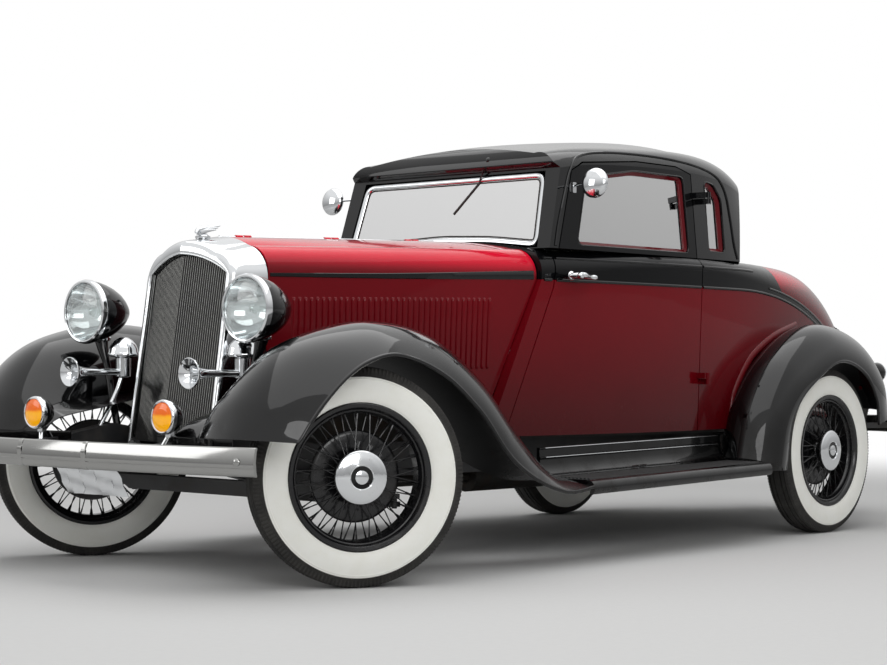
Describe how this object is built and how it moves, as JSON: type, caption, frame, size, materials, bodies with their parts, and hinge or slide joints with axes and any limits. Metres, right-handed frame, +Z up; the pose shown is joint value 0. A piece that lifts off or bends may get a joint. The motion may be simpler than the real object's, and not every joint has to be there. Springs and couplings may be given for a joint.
{
  "type": "two-door coupe car",
  "caption": "Two-door coupe car of the early thirties with separate fenders, running boards, wire wheels, opening doors, hood halves and deck lid.",
  "frame": {"origin": "on the ground below the middle of the car's overall box", "axes": "-Y to the nose, +X to the car's left side, +Z up"},
  "size_m": [1.841, 4.7447, 1.6699],
  "materials": {
    "black": "gloss",
    "red": "gloss",
    "chassis_black": "satin",
    "chrome": "polished",
    "tyre": "whitewall",
    "glass": "clear",
    "cast": "rough",
    "seat": "satin",
    "plastic": "gloss",
    "carpet": "matte",
    "steel": "satin"
  },
  "bodies": {
    "car": {"body": "red", "bulkhead": "carpet", "bumper_front": "chrome", "bumper_rear": "chrome", "dash": "plastic", "driveshaft": "chassis_black", "engine": "cast", "exhaust": "cast", "fenders_front": "black", "fenders_rear": "black", "firewall": "black", "floor": "carpet", "fog_lamps": "chrome", "frame": "chassis_black", "front_axle": "chassis_black", "fuel_tank": "chassis_black", "grille": "chrome", "headlamp_lenses": "glass", "headlamps": "black", "hinges": "steel", "horns": "chrome", "mascot": "chrome", "radiator": "cast", "radiator_shell": "chrome", "rear_axle": "chassis_black", "roof": "black", "running_boards": "black", "seat_back": "seat", "seat_cushion": "seat", "spare_tyre": "tyre", "spare_wheel": "black", "springs": "chassis_black", "steering_column": "plastic", "tail_lamps": "black", "window_glass": "glass", "windshield_frame": "chrome", "windshield_glass": "glass"},
    "hood_left": {"hood_left": "red"},
    "hood_right": {"hood_right": "red"},
    "door_left": {"door_left": "red", "door_glass_left": "glass", "mirror_left": "chrome"},
    "door_right": {"door_right": "red", "door_glass_right": "glass", "mirror_right": "chrome"},
    "deck_lid": {"deck_lid": "red"},
    "knuckle_left": {"knuckle_left": "chassis_black"},
    "knuckle_right": {"knuckle_right": "chassis_black"},
    "tie_rod": {"tie_rod": "chassis_black"},
    "steering_wheel": {"steering_wheel": "plastic"},
    "wheel_front_left": {"wheel_fl": "black", "tyre_fl": "tyre"},
    "wheel_front_right": {"wheel_fr": "black", "tyre_fr": "tyre"},
    "wheel_rear_left": {"wheel_rl": "black", "tyre_rl": "tyre"},
    "wheel_rear_right": {"wheel_rr": "black", "tyre_rr": "tyre"}
  },
  "joints": [
    {"name": "hood_left_hinge", "type": "hinge", "parent": "car", "child": "hood_left", "pos_m": [0, -1.6495, 1.157], "axis": [0, -0.9994, -0.0351], "range_deg": [0, 58]},
    {"name": "hood_right_hinge", "type": "hinge", "parent": "car", "child": "hood_right", "pos_m": [0, -1.6495, 1.157], "axis": [0, 0.9994, 0.0351], "range_deg": [0, 58]},
    {"name": "door_left_hinge", "type": "hinge", "parent": "car", "child": "door_left", "pos_m": [0.652, 0.4145, 1.01], "axis": [0, 0, 1], "range_deg": [0, 68]},
    {"name": "door_right_hinge", "type": "hinge", "parent": "car", "child": "door_right", "pos_m": [-0.652, 0.4145, 1.01], "axis": [0, 0, -1], "range_deg": [0, 68]},
    {"name": "deck_lid_hinge", "type": "hinge", "parent": "car", "child": "deck_lid", "pos_m": [0, 1.2805, 1.213], "axis": [1, 0, 0], "range_deg": [0, 55]},
    {"name": "steer_left", "type": "hinge", "parent": "car", "child": "knuckle_left", "pos_m": [0.6625, -1.67, 0.3546], "axis": [0, 0, 1], "range_deg": [-6, 63]},
    {"name": "steer_right", "type": "hinge", "parent": "car", "child": "knuckle_right", "pos_m": [-0.6625, -1.67, 0.3546], "axis": [0, 0, 1], "range_deg": [-6, 63]},
    {"name": "tie_rod_joint", "type": "hinge", "parent": "knuckle_left", "child": "tie_rod", "pos_m": [0.73499, -1.53868, 0.2586], "axis": [0, 0, 1], "range_deg": [-63, 6]},
    {"name": "steering_wheel_turn", "type": "hinge", "parent": "car", "child": "steering_wheel", "pos_m": [0.27, -0.1275, 1.015], "axis": [0, 0.8262, 0.5633], "range_deg": [-90, 945]},
    {"name": "spin_front_left", "type": "hinge", "parent": "knuckle_left", "child": "wheel_front_left", "pos_m": [0.71065, -1.69658, 0.3546], "axis": [0.8755, -0.4833, 0], "continuous": true},
    {"name": "spin_front_right", "type": "hinge", "parent": "knuckle_right", "child": "wheel_front_right", "pos_m": [-0.71065, -1.64342, 0.3546], "axis": [0.8755, -0.4833, 0], "continuous": true},
    {"name": "spin_rear_left", "type": "hinge", "parent": "car", "child": "wheel_rear_left", "pos_m": [0.7175, 1.175, 0.3546], "axis": [1, 0, 0], "continuous": true},
    {"name": "spin_rear_right", "type": "hinge", "parent": "car", "child": "wheel_rear_right", "pos_m": [-0.7175, 1.175, 0.3546], "axis": [1, 0, 0], "continuous": true}
  ],
  "couplings": [
    {"joint": "steer_right", "follows": "steer_left", "ratio": 1},
    {"joint": "tie_rod_joint", "follows": "steer_left", "ratio": -1},
    {"joint": "steering_wheel_turn", "follows": "steer_left", "ratio": 15}
  ]
}
